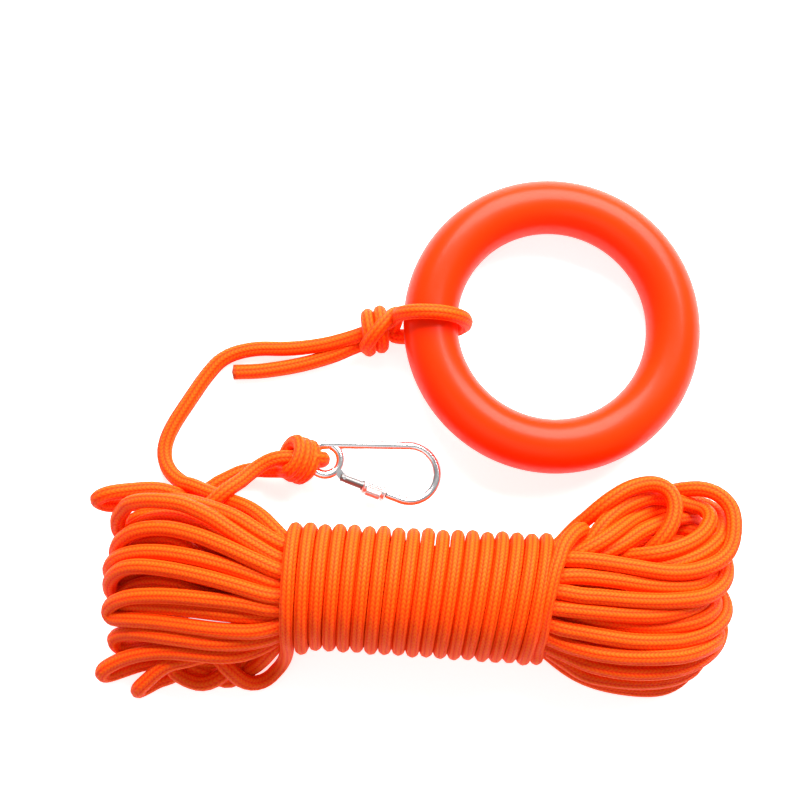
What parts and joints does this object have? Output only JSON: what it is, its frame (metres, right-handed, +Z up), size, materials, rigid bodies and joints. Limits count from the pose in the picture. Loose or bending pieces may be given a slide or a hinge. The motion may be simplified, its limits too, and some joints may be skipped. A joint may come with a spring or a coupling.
{
  "type": "ring lifebuoy",
  "caption": "Small glossy orange ring float on a braided throwing line, with the line wrapped into a hank and a sprung snap hook on its other end.",
  "frame": {"origin": "on the floor under the centre of the ring float", "axes": "+Z up; +X from the ring's knot across the ring, parallel to the hank; +Y from the hank towards the ring"},
  "size_m": [0.3304, 0.2725, 0.0637],
  "materials": {
    "orange_shell": "gloss",
    "foam": "matte",
    "orange_rope": "satin",
    "zinc_steel": "gloss",
    "pin_steel": "satin",
    "spring_steel": "satin"
  },
  "bodies": {
    "rope": {"ring_loop": "orange_rope", "ring_knot": "orange_rope", "rope_tail": "orange_rope", "lead_to_hank": "orange_rope", "hank_left_loops": "orange_rope", "hank_core": "orange_rope", "hank_wrap": "orange_rope", "hank_right_loops": "orange_rope", "hook_leg_front": "orange_rope", "hook_leg_back": "orange_rope", "hook_knot": "orange_rope", "hook_loop": "orange_rope"},
    "float_ring": {"float_shell_upper": "orange_shell", "float_shell_lower": "orange_shell", "foam_core": "foam"},
    "hook": {"hook_body": "zinc_steel"},
    "gate": {"gate": "zinc_steel", "gate_pivot_pin": "pin_steel", "gate_spring": "spring_steel", "gate_plunger": "pin_steel", "gate_latch_pin": "pin_steel"},
    "sleeve": {"lock_sleeve": "zinc_steel"}
  },
  "joints": [
    {"name": "ring_lift", "type": "hinge", "parent": "rope", "child": "float_ring", "pos_m": [-0.0633, 0, 0.0226], "axis": [0, -1, 0], "range_deg": [0, 90]},
    {"name": "hook_swing", "type": "hinge", "parent": "rope", "child": "hook", "pos_m": [-0.1177, -0.0694, 0.01097], "axis": [0.1414, 0, 0.99], "range_deg": [-20, 12]},
    {"name": "gate_open", "type": "hinge", "parent": "hook", "child": "gate", "pos_m": [-0.10789, -0.07892, 0.00957], "axis": [0.1414, 0, 0.99], "range_deg": [0, 30], "stiffness_Nm_per_rad": 0.02, "springref_deg": -17.19},
    {"name": "sleeve_travel", "type": "slide", "parent": "gate", "child": "sleeve", "axis": [0.9303, -0.342, -0.1328], "range_m": [0, 0.007]}
  ]
}
